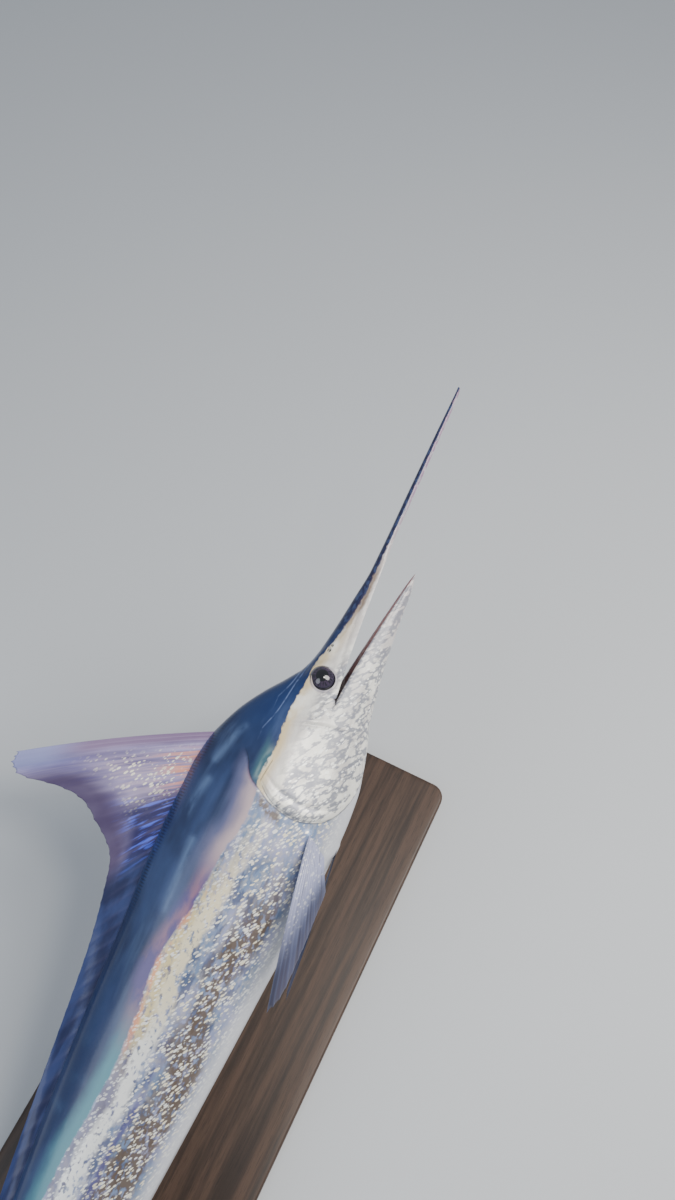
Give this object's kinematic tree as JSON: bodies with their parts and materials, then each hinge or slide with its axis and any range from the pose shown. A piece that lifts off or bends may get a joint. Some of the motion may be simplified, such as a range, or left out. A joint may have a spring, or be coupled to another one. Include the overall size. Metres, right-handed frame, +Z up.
{
  "type": "striped marlin",
  "caption": "Life-size striped marlin leaning on its left side, bill raised, mouth a little open and first dorsal fin spread, on a flat base with two rods.",
  "frame": {"origin": "on the underside of the base, 20 mm behind its middle", "axes": "+X along the base towards the bill, +Y to the side that the fish's back faces, +Z up"},
  "size_m": [2.4003, 0.8144, 0.7246],
  "materials": {
    "bill_skin": "wet satin",
    "blue_back": "wet gloss",
    "pale_cheek": "wet gloss",
    "dark_eye": "gloss",
    "violet_sail": "wet satin",
    "dusky_fin": "wet satin",
    "stand_board": "satin stain",
    "stand_metal": "brushed"
  },
  "bodies": {
    "root": {"bill": "bill_skin", "head": "blue_back", "trunk_front": "blue_back", "trunk_rear": "blue_back", "tail_stalk": "blue_back", "lower_jaw": "pale_cheek", "gill_cover_right": "pale_cheek", "gill_cover_left": "pale_cheek", "eye_right": "dark_eye", "eye_left": "dark_eye", "dorsal_fin_front": "violet_sail", "dorsal_fin_rear": "violet_sail", "second_dorsal_fin": "dusky_fin", "anal_fin": "dusky_fin", "second_anal_fin": "dusky_fin", "pectoral_fin_right": "dusky_fin", "pectoral_fin_left": "dusky_fin", "pelvic_fin_right": "dusky_fin", "pelvic_fin_left": "dusky_fin", "tail_fin_upper": "dusky_fin", "tail_fin_lower": "dusky_fin", "stand_base": "stand_board", "stand_rod_front": "stand_metal", "stand_rod_rear": "stand_metal"}
  },
  "joints": []
}
